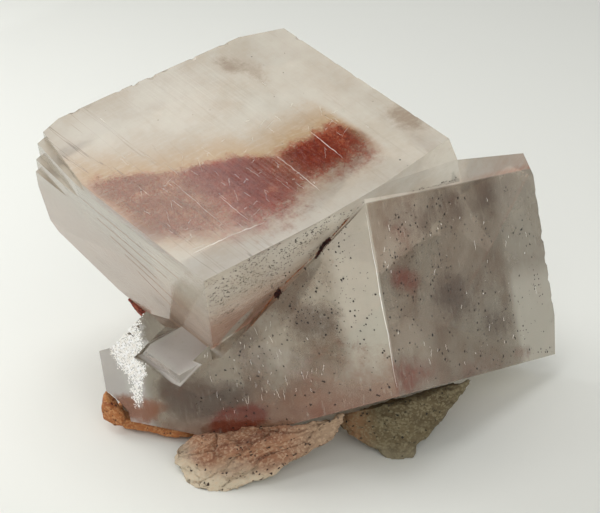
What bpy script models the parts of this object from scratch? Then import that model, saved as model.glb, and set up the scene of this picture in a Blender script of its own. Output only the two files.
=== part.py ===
"""Calcite specimen: intergrown rhombohedral crystals on two lumps of matrix rock.

Three calcite rhombs have grown into one another and form one solid. Every rhomb is
laid out from one corner, the directions of its three edges and the face angle that
all calcite cleavage rhombs share. Two rock lumps and a thin crust carry the
crystals, and a sliver of crust hangs under the upper crystal.

The origin is on the floor, under the middle of the specimen's bounding box.
Right in the picture is +X, away from the viewer is +Y and up is +Z.
"""

import math
import random

import bmesh
import bpy
from mathutils import Vector, noise
from mathutils.bvhtree import BVHTree

MM = 0.001

# Face angles of a calcite rhomb, in degrees
OBTUSE = 101.92
ACUTE = 180.0 - OBTUSE

# Gap between neighbouring pieces that touch, in millimetres
CONTACT_GAP = 0.3

# Upper crystal: the front corner of its top face, the lengths of its three edges,
# and how it is turned. Edge one runs left, edge two right, edge three down and back.
UPPER_CORNER = (-15.3, -39.5, 40.8)
UPPER_EDGES = (39.8, 48.4, 46.9)
UPPER_TURN = (140.20, 19.20, 161.02)
UPPER_ANGLES = (OBTUSE, ACUTE, ACUTE)

# Lower crystal: the front bottom corner. Edge one runs left and down, edge two
# right and back, edge three up.
LOWER_CORNER = (13.9, -29.2, 16.0)
LOWER_EDGES = (52.6, 49.6, 36.4)
LOWER_TURN = (161.45, -25.15, -157.97)
LOWER_ANGLES = (OBTUSE, OBTUSE, OBTUSE)

# Small crystal in the corner between the two, parallel to the upper one
SMALL_CORNER = (-20.8, -19.0, 14.1)
SMALL_EDGES = (8.1, 13.0, 4.5)
SMALL_TURN = (143.18, 17.52, 162.22)

# Shift that brings the middle of the finished bounding box over the origin
CENTRING = (0.542, 0.689, 0.0)

# Height of the lower crystal's broken base over the floor
BASE_HEIGHT = 2.6

# The open notch between the two big crystals, in the upper crystal's own edges:
# how deep it goes, and how far it reaches to the left and to the front
NOTCH_DEPTH = 38.8
NOTCH_REACH = 7.2
NOTCH_FRONT = 40.0

# The lower crystal's toe, in the lower crystal's own edges one and three: its low
# top, and the shattered slope that climbs from there to the upper crystal
TOE_TOP = ((54.6, 20.8), (49.2, 20.8), (41.8, 24.9), (35.0, 31.6))

# Cleavage ledges at the left corner of the upper crystal: each starts this far
# along edge one, is this wide at the corner, and goes down this far
LEDGES = ((25.0, 3.7, 2.6), (26.5, 1.9, 8.6), (29.0, 0.8, 13.6))


def rhomb_directions(turn, angles, hand):
    """Unit vectors of a rhomb's three edges.

    turn is the heading and rise of edge one, and the twist of edge two round it.
    angles are those between edges one and two, one and three, two and three.
    """
    heading, rise, twist = (math.radians(value) for value in turn)
    between_12, between_13, between_23 = (math.radians(value) for value in angles)
    one = Vector((math.cos(rise) * math.cos(heading), math.cos(rise) * math.sin(heading), math.sin(rise)))
    level = Vector((-math.sin(heading), math.cos(heading), 0.0))
    upright = one.cross(level)
    side = level * math.cos(twist) + upright * math.sin(twist)
    two = one * math.cos(between_12) + side * math.sin(between_12)
    along = math.cos(between_13)
    across = (math.cos(between_23) - along * math.cos(between_12)) / math.sin(between_12)
    out = math.sqrt(1.0 - along * along - across * across)
    three = one * along + side * across + one.cross(side) * (out * hand)
    return one, two, three


class CrystalFrame:
    """A crystal's own coordinates: millimetres along its three edges."""

    def __init__(self, corner, turn, angles, hand):
        self.corner = Vector(corner)
        self.edges = rhomb_directions(turn, angles, hand)

    def at(self, one, two, three):
        """World position, in millimetres, of a place given along the edges."""
        first, second, third = self.edges
        return self.corner + first * one + second * two + third * three


UPPER = CrystalFrame(UPPER_CORNER, UPPER_TURN, UPPER_ANGLES, 1.0)
LOWER = CrystalFrame(LOWER_CORNER, LOWER_TURN, LOWER_ANGLES, -1.0)
SMALL = CrystalFrame(SMALL_CORNER, SMALL_TURN, UPPER_ANGLES, 1.0)


def clear_scene():
    """Remove every object of the file that the script starts in."""
    for thing in list(bpy.data.objects):
        bpy.data.objects.remove(thing, do_unlink=True)


def make_material(name, colour, roughness, alpha=1.0):
    """A Principled material with the piece's colour and roughness."""
    material = bpy.data.materials.new(name)
    material.use_nodes = True
    surface = material.node_tree.nodes["Principled BSDF"]
    surface.inputs["Base Color"].default_value = (*colour, 1.0)
    surface.inputs["Roughness"].default_value = roughness
    surface.inputs["Metallic"].default_value = 0.0
    surface.inputs["Alpha"].default_value = alpha
    return material


def to_metres(point):
    """A place in millimetres, moved so that the origin is under the specimen's middle."""
    return (Vector(point) + Vector(CENTRING)) * MM


def hull_mesh(points):
    """Closed convex mesh round points given in millimetres."""
    mesh = bmesh.new()
    for point in points:
        mesh.verts.new(to_metres(point))
    bmesh.ops.convex_hull(mesh, input=mesh.verts)
    loose = [vert for vert in mesh.verts if not vert.link_faces]
    bmesh.ops.delete(mesh, geom=loose, context="VERTS")
    bmesh.ops.dissolve_limit(mesh, angle_limit=math.radians(0.05), verts=mesh.verts, edges=mesh.edges)
    bmesh.ops.recalc_face_normals(mesh, faces=mesh.faces)
    return mesh


def slice_off(mesh, inside, on_plane):
    """Cut a convex mesh along the plane through three points, keeping the inside."""
    first, second, third = (to_metres(point) for point in on_plane)
    normal = (second - first).cross(third - first).normalized()
    if normal.dot(to_metres(inside) - first) > 0.0:
        normal.negate()
    parts = list(mesh.verts) + list(mesh.edges) + list(mesh.faces)
    bmesh.ops.bisect_plane(mesh, geom=parts, plane_co=first, plane_no=normal, clear_outer=True, dist=1e-7)
    rim = [edge for edge in mesh.edges if edge.is_boundary]
    bmesh.ops.edgeloop_fill(mesh, edges=rim)
    bmesh.ops.recalc_face_normals(mesh, faces=mesh.faces)


def add_object(name, mesh, material=None):
    """Turn an edit mesh into an object of the scene."""
    data = bpy.data.meshes.new(name)
    mesh.to_mesh(data)
    mesh.free()
    thing = bpy.data.objects.new(name, data)
    bpy.context.scene.collection.objects.link(thing)
    if material:
        data.materials.append(material)
    return thing


def add_helper(name, mesh):
    """An object that only takes part in Booleans."""
    thing = add_object(name, mesh)
    thing.hide_render = True
    thing.display_type = "WIRE"
    return thing


def combine(target, helper, operation):
    """Add one Boolean to the target's stack."""
    step = target.modifiers.new(helper.name, "BOOLEAN")
    step.operation = operation
    step.solver = "EXACT"
    step.object = helper


def block_points(frame, one, two, three):
    """Corners of a block in a crystal's frame, from its three ranges."""
    return [frame.at(a, b, c) for a in one for b in two for c in three]


def upper_block():
    """Upper rhomb, with its broken corners and its bevelled right edge."""
    long_one, long_two, long_three = UPPER_EDGES
    block = hull_mesh(block_points(UPPER, (0.0, long_one), (0.0, long_two), (0.0, long_three)))
    middle = UPPER.at(long_one / 2, long_two / 2, long_three / 2)
    cuts = (
        # the far corner of the top face
        ((39.4, 39.6, 0.0), (37.1, 46.4, 0.0), (36.9, 46.4, 30.0)),
        # the far right side, which leans out towards the bottom
        ((37.0, 46.4, 0.0), (2.5, 47.2, 0.0), (0.0, 48.4, 16.0)),
        # the long left edge, which draws in towards the far corner
        ((39.8, 15.0, 0.0), (39.4, 39.6, 0.0), (39.8, 15.0, 30.0)),
        # the left corner's lower end, broken in two slopes
        ((39.8, 0.0, 39.6), (24.0, 0.0, 46.9), (26.0, 30.0, 46.9)),
        ((39.8, 0.0, 37.0), (36.6, 0.0, 43.8), (39.3, 20.0, 43.8)),
        # the left corner of the top face, worn round
        ((39.8, 6.6, 0.0), (38.4, 2.4, 0.0), (39.8, 4.4, 7.0)),
        # the long bevel that widens towards the right corner
        ((0.0, 28.6, 0.3), (2.7, 47.4, 0.0), (0.0, 47.6, 9.0)),
        # a second, thinner bevel below it
        ((0.0, 33.0, 6.0), (0.8, 47.4, 6.3), (0.0, 47.9, 13.4)),
    )
    for cut in cuts:
        slice_off(block, middle, [UPPER.at(*point) for point in cut])
    return block


def lower_block():
    """Lower rhomb, cut at the broken base and chipped at its far right corner."""
    long_one, long_two, long_three = LOWER_EDGES
    block = hull_mesh(block_points(LOWER, (0.0, long_one), (0.0, long_two), (0.0, long_three)))
    middle = LOWER.at(long_one * 0.4, long_two / 2, long_three * 0.6)
    base = [(0.0, 0.0, BASE_HEIGHT), (10.0, 0.0, BASE_HEIGHT), (0.0, 10.0, BASE_HEIGHT)]
    slice_off(block, middle, base)
    slice_off(block, middle, [UPPER.at(*point) for point in ((0, 0, 0.6), (10, 0, 0.6), (0, 10, 0.6))])
    cuts = (
        # the chip at the top right corner
        ((0.0, 47.4, 36.4), (0.0, 49.6, 32.4), (8.0, 49.6, 36.4)),
        # the lower end of the right outline
        ((0.0, 47.8, 0.0), (0.0, 49.6, 7.0), (9.0, 49.6, 0.0)),
        # the toe's outer end, leaning a little
        ((52.6, 0.0, 9.0), (52.1, 0.0, 21.0), (52.0, 20.0, 9.0)),
    )
    for cut in cuts:
        slice_off(block, middle, [LOWER.at(*point) for point in cut])
    return block


def small_block():
    """Small rhomb in the corner between the two big ones."""
    long_one, long_two, long_three = SMALL_EDGES
    block = hull_mesh(block_points(SMALL, (0.0, long_one), (0.0, long_two), (0.0, long_three)))
    middle = SMALL.at(long_one / 2, long_two / 2, long_three / 2)
    corner = [SMALL.at(*point) for point in ((7.0, 0.0, 0.0), (8.1, 1.6, 0.0), (8.1, 0.0, 2.2))]
    slice_off(block, middle, corner)
    return block


def notch_cutter():
    """Block that opens the notch left of the upper crystal's front edge."""
    return hull_mesh(block_points(UPPER, (0.0, NOTCH_REACH), (-NOTCH_FRONT, 0.4), (-20.0, NOTCH_DEPTH)))


def ridge_cutter():
    """Block that slopes the shattered ridge down towards the upper crystal."""
    section = ((0.4, NOTCH_DEPTH + 0.8), (-3.2, 31.4), (-3.2, -20.0), (0.4, -20.0))
    return hull_mesh([UPPER.at(one, *place) for one in (NOTCH_REACH - 0.2, 60.0) for place in section])


def toe_cutter():
    """Block that leaves the low toe at the lower crystal's left end."""
    outline = list(TOE_TOP) + [(TOE_TOP[-1][0], 60.0), (TOE_TOP[0][0], 60.0)]
    return hull_mesh([LOWER.at(one, two, three) for one, three in outline for two in (-3.0, 60.0)])


def ledge_cutter(start, width, depth):
    """Wedge that leaves one cleavage ledge at the upper crystal's left corner."""
    end = UPPER_EDGES[0] + 2.0
    plan = ((start, -0.2), (end, width), (end, -4.0), (start, -4.0))
    return hull_mesh([UPPER.at(one, two, three) for one, two in plan for three in (-3.0, depth)])


def edge_chips(rng, start, end, count, size):
    """Small angular chips along an edge, as one helper mesh of separate bodies."""
    chips = bmesh.new()
    start = Vector(start)
    step = (Vector(end) - start) / count
    for index in range(count):
        if rng.random() < 0.3:
            continue
        centre = start + step * (index + rng.uniform(0.35, 0.65))
        reach = min(step.length * 0.42, size[1] * 2.2)
        long = reach * rng.uniform(0.6, 1.0)
        deep = rng.uniform(*size)
        along = step.normalized()
        points = []
        for _ in range(10):
            away = Vector([rng.gauss(0.0, 1.0) for _ in range(3)])
            away -= along * away.dot(along)
            away.normalize()
            points.append(centre + away * deep + along * long * rng.uniform(-1.0, 1.0) * 0.6)
        points.append(centre + along * long)
        points.append(centre - along * long)
        chip = hull_mesh(points)
        scratch = bpy.data.meshes.new("chip")
        chip.to_mesh(scratch)
        chip.free()
        chips.from_mesh(scratch)
        bpy.data.meshes.remove(scratch)
    return chips


def seam_groove():
    """Shallow groove where the lower crystal's left face meets the upper crystal.

    Its floor runs from the upper crystal's front right face to the lower one's
    left face, widest at the small crystal, and dies out where the two edges cross.
    """
    seam = (
        ((-0.4, 34.0), (31.4, 14.0)),
        ((8.4, 29.9), (21.9, 18.6)),
        ((27.6, 2.4), (0.8, 30.8)),
    )
    points = []
    for (across, deep), (along, high) in seam:
        back = UPPER.at(0.3, across, deep)
        front = LOWER.at(along, 0.0, high)
        out = front + (front - back) * 0.6
        lift = Vector((0.0, 0.0, 6.0))
        points += [back, UPPER.at(0.3, across, deep - 5.0), out, out + lift]
    return hull_mesh(points)


def build_crystals(material):
    """All three intergrown crystals as one solid."""
    rng = random.Random(11)
    lower = add_helper("lower_rhomb", lower_block())
    notch = add_helper("notch", notch_cutter())
    combine(lower, notch, "DIFFERENCE")
    combine(lower, add_helper("seam_groove", seam_groove()), "DIFFERENCE")
    combine(lower, add_helper("toe_cutter", toe_cutter()), "DIFFERENCE")
    combine(lower, add_helper("ridge_cutter", ridge_cutter()), "DIFFERENCE")
    crystals = add_object("calcite_crystals", upper_block(), material)
    for index, (start, width, depth) in enumerate(LEDGES):
        combine(crystals, add_helper(f"ledge_{index + 1}", ledge_cutter(start, width, depth)), "DIFFERENCE")
    combine(crystals, lower, "UNION")
    combine(crystals, add_helper("small_rhomb", small_block()), "UNION")
    one, two, three = UPPER_EDGES
    chipped = (
        # the long wavy edge from the left corner to the far one
        (UPPER.at(one - 0.1, 8.0, -0.1), UPPER.at(one - 0.4, 38.0, -0.1), 11, (0.3, 0.8)),
        # the front edges of the top face
        (UPPER.at(3.0, -0.1, -0.1), UPPER.at(24.0, -0.1, -0.1), 7, (0.12, 0.3)),
        (UPPER.at(-0.1, 2.0, -0.1), UPPER.at(-0.1, 27.0, -0.1), 8, (0.1, 0.28)),
        # the edge on the far right of the top face
        (UPPER.at(8.0, two - 1.3, -0.1), UPPER.at(36.0, two - 2.0, -0.1), 7, (0.2, 0.5)),
        # the hidden edges round the back
        (UPPER.at(one, two - 10.0, three), UPPER.at(one, 6.0, three), 6, (0.5, 1.2)),
        # the lower crystal's front edge and its far right edge
        (LOWER.at(-0.05, -0.05, 2.0), LOWER.at(-0.05, -0.05, 30.0), 8, (0.1, 0.25)),
        (LOWER.at(0.0, 49.6, 8.0), LOWER.at(0.0, 49.6, 31.0), 6, (0.25, 0.6)),
        (LOWER.at(-0.1, 8.0, -0.1), LOWER.at(-0.1, 44.0, -0.1), 8, (0.2, 0.5)),
        # the shattered slope above the toe
        (LOWER.at(48.6, 0.4, 21.2), LOWER.at(40.6, 0.4, 25.6), 5, (0.8, 1.5)),
        (LOWER.at(47.0, 4.0, 22.2), LOWER.at(39.6, 4.0, 26.6), 4, (0.7, 1.4)),
    )
    for index, (start, end, count, size) in enumerate(chipped):
        chips = edge_chips(rng, start, end, count, size)
        combine(crystals, add_helper(f"edge_chips_{index + 1}", chips), "DIFFERENCE")
    return crystals


def rough_lump(points, grain, depth, seed, detail):
    """Rough closed lump that follows the hull of some points.

    grain is the size of the roughness, depth how far it goes in or out.
    """
    hull = hull_mesh(points)
    tree = BVHTree.FromBMesh(hull)
    centre = sum((vert.co for vert in hull.verts), Vector()) / len(hull.verts)
    hull.free()
    lump = bmesh.new()
    bmesh.ops.create_icosphere(lump, subdivisions=detail, radius=1.0)
    far = 200.0 * MM
    shift = Vector((seed * 3.7, seed * 1.3, seed * 5.1))
    for vert in lump.verts:
        ray = vert.co.normalized()
        place = tree.ray_cast(centre + ray * far, -ray)[0]
        rough = noise.fractal(place / (grain * MM) + shift, 0.8, 2.1, 4)
        facet = noise.cell(place / (grain * 1.9 * MM) + shift)
        vert.co = place + ray * (rough + (facet - 0.5) * 0.45) * depth * MM
    bmesh.ops.recalc_face_normals(lump, faces=lump.faces)
    return lump


def floor_block():
    """Block whose top is the floor, to cut flat resting faces."""
    corners = [(x, y, z) for x in (-80.0, 80.0) for y in (-80.0, 80.0) for z in (-40.0, 0.0)]
    return hull_mesh(corners)


def crystal_envelope():
    """The space of the lower crystal grown by the contact gap, to cut the rocks."""
    gap = CONTACT_GAP
    reach = gap / math.sin(math.radians(ACUTE)) * 1.25
    long_one, long_two, long_three = LOWER_EDGES
    corners = block_points(
        LOWER,
        (-reach, long_one + reach),
        (-reach, long_two + reach),
        (-reach, long_three + reach),
    )
    envelope = hull_mesh(corners)
    middle = LOWER.at(long_one * 0.4, long_two / 2, long_three * 0.6)
    low = BASE_HEIGHT - gap - 0.1
    slice_off(envelope, middle, [(0.0, 0.0, low), (10.0, 0.0, low), (0.0, 10.0, low)])
    return envelope


def build_rocks(left_material, right_material, floor, envelope):
    """The two lumps of matrix that the specimen stands on."""
    left_points = (
        (-17.5, -31.4, -1.2), (-12.6, -32.2, -1.0), (-19.6, -27.0, -1.2), (-22.0, -25.4, 0.8),
        (-23.2, -24.4, 2.4), (-21.8, -21.2, 4.0), (-17.8, -29.6, 2.0), (-12.4, -30.0, 3.0),
        (-6.4, -27.0, 1.0), (-2.6, -26.0, 3.0), (1.8, -25.6, 4.6), (6.4, -24.8, 6.2),
        (6.6, -23.2, 10.0), (1.6, -21.4, 9.0), (-7.6, -22.9, 6.6), (-15.6, -21.4, 4.8),
        (-19.6, -19.4, 3.6), (-18.6, -19.2, -1.5), (-6.0, -15.8, -1.5), (-1.0, -18.6, 6.0),
        (-12.0, -26.6, 5.6), (-2.0, -24.6, 7.2),
    )
    right_points = (
        (5.0, -18.4, 5.6), (6.6, -19.6, 3.4), (9.4, -20.4, 2.0), (13.0, -21.4, -0.6),
        (16.8, -21.4, -0.8), (18.8, -20.2, 1.4), (20.2, -19.4, 4.4), (21.6, -18.2, 7.4),
        (24.6, -17.6, 10.2), (27.4, -15.6, 11.6), (25.8, -9.6, 9.4), (21.6, -5.8, -1.5),
        (12.0, -5.2, -1.5), (7.4, -9.4, -1.5), (4.8, -14.6, 2.6), (6.6, -16.6, 9.8),
        (16.0, -21.6, 10.8), (23.6, -6.8, 4.0),
    )
    rocks = []
    for name, points, seed, material in (
        ("matrix_left", left_points, 2.0, left_material),
        ("matrix_right", right_points, 5.0, right_material),
    ):
        rock = add_object(name, rough_lump(points, 4.2, 0.75, seed, 4), material)
        combine(rock, floor, "DIFFERENCE")
        combine(rock, envelope, "DIFFERENCE")
        rocks.append(rock)
    return rocks


def build_base_crust(material, floor, envelope, crystals):
    """Iron-stained crust under the broken base, with a knob round the toe."""
    points = (
        (-32.8, -11.6, 1.0), (-31.0, -13.6, 1.1), (-26.0, -15.8, 1.2), (-21.4, -17.2, 1.2),
        (-32.6, -9.0, 1.2), (-21.2, -16.6, 2.6), (-32.8, -11.0, 2.8), (-28.0, -8.0, -1.4),
        (-19.0, -13.6, -1.4), (-9.0, -8.0, -1.6), (1.0, 2.0, -1.6), (2.0, 12.0, -1.6),
        (-5.0, 20.0, -1.6), (-10.0, 21.4, -1.6), (-26.0, 2.0, -1.4), (2.4, 3.0, 4.0),
        (-6.4, 20.6, 4.0), (-30.2, -4.0, 4.0), (-17.6, -14.4, 4.0), (-30.4, -5.6, 1.0),
    )
    crust = add_object("base_crust", rough_lump(points, 3.2, 0.55, 9.0, 4), material)
    combine(crust, floor, "DIFFERENCE")
    combine(crust, envelope, "DIFFERENCE")
    knob = (
        (-34.4, -12.0, 1.7), (-34.6, -11.6, 5.4), (-33.9, -9.6, 6.8), (-33.0, -13.6, 1.6),
        (-30.6, -14.6, 1.7), (-31.4, -13.9, 4.0), (-33.4, -12.8, 5.8), (-32.6, -9.4, 1.7),
        (-30.0, -12.2, 1.7), (-30.2, -12.4, 3.4), (-32.2, -10.4, 5.4),
    )
    lump = add_helper("toe_knob", rough_lump(knob, 1.6, 0.22, 4.0, 3))
    combine(crust, lump, "UNION")
    return crust


def toe_pocket():
    """Space in the lower crystal's toe that the crust's knob sits in."""
    pocket = (
        (-35.6, -12.8, 1.2), (-35.6, -12.0, 6.2), (-34.6, -9.0, 7.8), (-33.6, -14.6, 1.2),
        (-29.6, -15.8, 1.2), (-30.4, -15.2, 4.6), (-33.2, -14.0, 6.8), (-33.2, -8.2, 1.2),
        (-29.0, -11.4, 1.2), (-29.2, -11.6, 4.0), (-31.6, -9.6, 6.4),
    )
    return hull_mesh(pocket)


def build_side_crust(material):
    """Red-brown sliver hanging under the upper crystal's lower left edge."""
    deep = UPPER_EDGES[2] + CONTACT_GAP + 0.1
    plan = (
        (16.2, -0.2, deep), (24.0, 0.1, deep), (17.0, 5.0, deep), (22.6, 4.4, deep), (16.0, -1.0, deep + 0.6),
        (16.6, -0.9, deep + 2.2), (19.0, -0.7, deep + 2.0), (21.6, -0.3, deep + 0.9), (18.6, 3.6, deep + 1.9),
    )
    return add_object("side_crust", rough_lump([UPPER.at(*p) for p in plan], 1.6, 0.1, 7.0, 3), material)


def main():
    """Build the specimen."""
    clear_scene()
    calcite = make_material("calcite", (0.50, 0.36, 0.30), 0.12, 0.45)
    sandstone = make_material("sandy_matrix", (0.42, 0.22, 0.14), 0.85)
    chlorite = make_material("granular_matrix", (0.20, 0.19, 0.15), 0.85)
    limonite = make_material("limonite_crust", (0.42, 0.17, 0.05), 0.8)
    hematite = make_material("hematite_crust", (0.12, 0.04, 0.03), 0.75)
    crystals = build_crystals(calcite)
    combine(crystals, add_helper("toe_pocket", toe_pocket()), "DIFFERENCE")
    floor = add_helper("floor_cut", floor_block())
    envelope = add_helper("crystal_envelope", crystal_envelope())
    build_rocks(sandstone, chlorite, floor, envelope)
    build_base_crust(limonite, floor, envelope, crystals)
    build_side_crust(hematite)


main()
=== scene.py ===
"""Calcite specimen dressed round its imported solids.

Two big clear calcite rhombs have grown into each other, with a third small one between them. A cloud of red
hematite dust hangs under the upper rhomb's top face. The group stands on two lumps of matrix and a rusty crust.
Lengths are in millimetres here, and are turned to metres where a mesh is made.
"""
import logging
import math
from dataclasses import dataclass
from enum import Enum
from functools import partial
from typing import Any, Callable, Mapping, Protocol, Sequence

import bpy
import numpy as np
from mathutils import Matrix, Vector
from mathutils.bvhtree import BVHTree


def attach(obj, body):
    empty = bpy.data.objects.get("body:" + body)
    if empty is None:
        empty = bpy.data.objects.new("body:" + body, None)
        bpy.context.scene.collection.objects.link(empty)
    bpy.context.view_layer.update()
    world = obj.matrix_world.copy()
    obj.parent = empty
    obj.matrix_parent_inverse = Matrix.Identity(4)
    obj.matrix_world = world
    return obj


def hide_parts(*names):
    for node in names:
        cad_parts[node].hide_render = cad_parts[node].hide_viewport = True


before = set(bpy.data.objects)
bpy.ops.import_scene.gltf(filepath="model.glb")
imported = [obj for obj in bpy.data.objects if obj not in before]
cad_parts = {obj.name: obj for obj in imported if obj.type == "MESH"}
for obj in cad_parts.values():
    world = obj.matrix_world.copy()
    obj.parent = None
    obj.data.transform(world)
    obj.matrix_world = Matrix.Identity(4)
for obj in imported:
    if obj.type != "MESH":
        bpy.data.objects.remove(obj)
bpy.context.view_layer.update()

LOG = logging.getLogger("calcite")
MM = 0.001
BODY = "root"
FAR = 1e6
MENUS = {
    "Math": "operation",
    "VectorMath": "operation",
    "MapRange": "interpolation_type",
    "Mix": "data_type",
    "Mapping": "vector_type",
    "TexNoise": "noise_dimensions",
}
Array = np.ndarray
Pair = tuple[float, float]
Point = tuple[float, float, float]
Line = tuple[Pair, Pair, float]
Socket = bpy.types.NodeSocket
Adder = Callable[..., Any]


class Slot(Enum):
    """The record's material slots."""

    CALCITE = "calcite"
    SANDY = "sandy_matrix"
    GRANULAR = "granular_matrix"
    LIMONITE = "limonite_crust"
    HEMATITE = "hematite_crust"


class Finish(Protocol):
    """Anything that makes a material."""

    def material(self) -> bpy.types.Material:
        """Makes the material."""


def linear(code: str) -> tuple[float, float, float, float]:
    """Turns an sRGB hex code to linear colour.

    Args:
        code: six hex digits with a leading hash.

    Returns:
        Linear red, green and blue, and an alpha of one.
    """
    channels = [int(code[start : start + 2], 16) / 255 for start in (1, 3, 5)]
    values = [c / 12.92 if c <= 0.04045 else ((c + 0.055) / 1.055) ** 2.4 for c in channels]
    return (values[0], values[1], values[2], 1.0)


def add_node(
    tree: bpy.types.NodeTree, kind: str, *inputs: Any, out: str = "", named: Mapping[str, Any] | None = None
) -> Any:
    """Adds a node with its settings and links.

    Args:
        tree: the node tree that it joins.
        kind: the node's type name, and after a space what its main menu is set to.
        inputs: what goes in each input in use, in order: an output, a value, a hex colour, or None to leave it.
        out: the name of the output that is given back, or nothing for the first in use.
        named: what goes in the inputs that are told by name.

    Returns:
        The output, or the node itself where it has none.
    """
    name, _, choice = kind.partition(" ")
    node = tree.nodes.new("ShaderNode" + name)
    if choice:
        setattr(node, MENUS[name], choice)
    pairs = list(zip([socket for socket in node.inputs if socket.enabled], inputs))
    pairs += [(node.inputs[key], value) for key, value in (named or {}).items()]
    for socket, value in pairs:
        if isinstance(value, Socket):
            tree.links.new(value, socket)
        elif value is not None:
            socket.default_value = linear(value) if isinstance(value, str) else value
    if out:
        return node.outputs[out]
    return next((socket for socket in node.outputs if socket.enabled), node)


def new_material(name: str) -> tuple[bpy.types.Material, Adder, Socket]:
    """Starts a material.

    Args:
        name: its name.

    Returns:
        The material, what adds a node to it, and an output that gives the point on the object in millimetres.
    """
    material = bpy.data.materials.new(name)
    material.use_nodes = True
    material.node_tree.nodes.clear()
    add = partial(add_node, material.node_tree)
    return material, add, add("VectorMath MULTIPLY", add("TexCoord", out="Object"), (1 / MM,) * 3)


def drawn_noise(add: Adder, place: Socket, stretch: Point, detail: float = 5.0, rough: float = 0.7) -> Socket:
    """Adds noise that is drawn out along the axis with the smallest stretch.

    Args:
        add: adds a node to the material.
        place: the point that the noise is read at.
        stretch: blobs a millimetre along each axis.
        detail: how many finer layers it has.
        rough: how strong they are.

    Returns:
        The noise, between zero and one.
    """
    return add("TexNoise", add("VectorMath MULTIPLY", place, stretch), 1.0, detail, rough)


@dataclass(frozen=True)
class CrystalFrame:
    """The skew axes of one calcite rhomb: the corner where its edges meet, their lengths, the heading, rise and
    twist of the first, the angles between edges one-two, one-three and two-three, and the third one's side."""

    corner: Point
    edges: Point
    turn: Point
    angles: Point
    hand: int

    @property
    def axes(self) -> Array:
        """Works out the edge directions.

        Returns:
            The three edge directions, one a row.
        """
        heading, rise, twist = (math.radians(a) for a in self.turn)
        flat = math.cos(rise)
        one = np.array([flat * math.cos(heading), flat * math.sin(heading), math.sin(rise)])
        level = np.array([-math.sin(heading), math.cos(heading), 0.0])
        side = level * math.cos(twist) + np.cross(one, level) * math.sin(twist)
        cos12, cos13, cos23 = (math.cos(math.radians(a)) for a in self.angles)
        sin12 = math.sqrt(1 - cos12**2)
        across = (cos23 - cos13 * cos12) / sin12
        out = math.sqrt(1 - cos13**2 - across**2)
        two = one * cos12 + side * sin12
        three = one * cos13 + side * across + np.cross(one, side) * out * self.hand
        return np.array([one, two, three])

    def at(self, places: Array) -> Array:
        """Turns crystal places, one a row, to points in the object's frame."""
        return np.asarray(places, float) @ self.axes + np.array(self.corner)

    def on_face(self, skip: int, flat: Array) -> Array:
        """Turns places along a face's two edges to points, where the third edge is the one to skip."""
        return self.at(np.insert(flat, skip, 0.0, axis=1))

    def readers(self) -> Array:
        """Gives the three vectors whose dot product with a point gives its place."""
        return np.linalg.inv(self.axes).T

    def normal(self, axis: int) -> Array:
        """Gives the inward normal of the face that the axis leaves."""
        return self.readers()[axis] / np.linalg.norm(self.readers()[axis])

    def place_nodes(self, add: Adder, place: Socket) -> Socket:
        """Adds nodes that give the point along the crystal's three edges.

        Args:
            add: adds a node to the material.
            place: the point on the object in millimetres.

        Returns:
            The place along each edge, in millimetres.
        """
        offset = add("VectorMath SUBTRACT", place, self.corner)
        return add("CombineXYZ", *(add("VectorMath DOT_PRODUCT", offset, tuple(r)) for r in self.readers()))


OBTUSE, ACUTE = 101.92, 78.08
UPPER = CrystalFrame(
    (-14.758, -38.811, 40.8), (39.8, 48.4, 46.9), (140.20, 19.20, 161.02), (OBTUSE, ACUTE, ACUTE), 1
)
LOWER = CrystalFrame(
    (14.442, -28.511, 16.0), (52.6, 49.6, 36.4), (161.45, -25.15, -157.97), (OBTUSE, OBTUSE, OBTUSE), -1
)
SMALL = CrystalFrame(
    (-20.258, -18.311, 14.1), (8.1, 13.0, 4.5), (143.18, 17.52, 162.22), (OBTUSE, ACUTE, ACUTE), 1
)


class LatticeNoise:
    """Smooth seeded noise between zero and one."""

    def __init__(self, seed: int) -> None:
        """Draws the table that the noise is read from.

        Args:
            seed: the seed of the draw.
        """
        rng = np.random.default_rng(seed)
        self.order = rng.permutation(256)
        self.table = rng.random(256)

    def at(self, points: Array, size: float, octaves: int = 1) -> Array:
        """Reads the noise.

        Args:
            points: places, one a row.
            size: size of the largest blobs, in the points' unit.
            octaves: how many layers are summed, each half as big as the one before.

        Returns:
            One value between zero and one a point.
        """
        total, weight, amount = np.zeros(len(points)), 0.0, 1.0
        for octave in range(octaves):
            scaled = points / size * 2**octave + 17.3 * octave
            cell = np.floor(scaled).astype(int)
            part = scaled - cell
            part = part * part * (3 - 2 * part)
            layer = np.zeros(len(points))
            for corner in range(8):
                step = np.array([corner >> 2 & 1, corner >> 1 & 1, corner & 1])
                index = 0
                for spot in ((cell + step) & 255).T:
                    index = self.order[(index + spot) & 255]
                layer += self.table[index] * np.prod(np.where(step, part, 1 - part), axis=1)
            total += layer * amount
            weight += amount
            amount *= 0.5
        return total / weight


def gather(count: int, draw: Callable[[], Array]) -> Array:
    """Draws batches of rows until there are enough.

    Args:
        count: how many rows are wanted.
        draw: gives one batch.

    Returns:
        That many rows.
    """
    rows = draw()
    while len(rows) < count:
        rows = np.concatenate([rows, draw()])
    return rows[:count]


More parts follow.
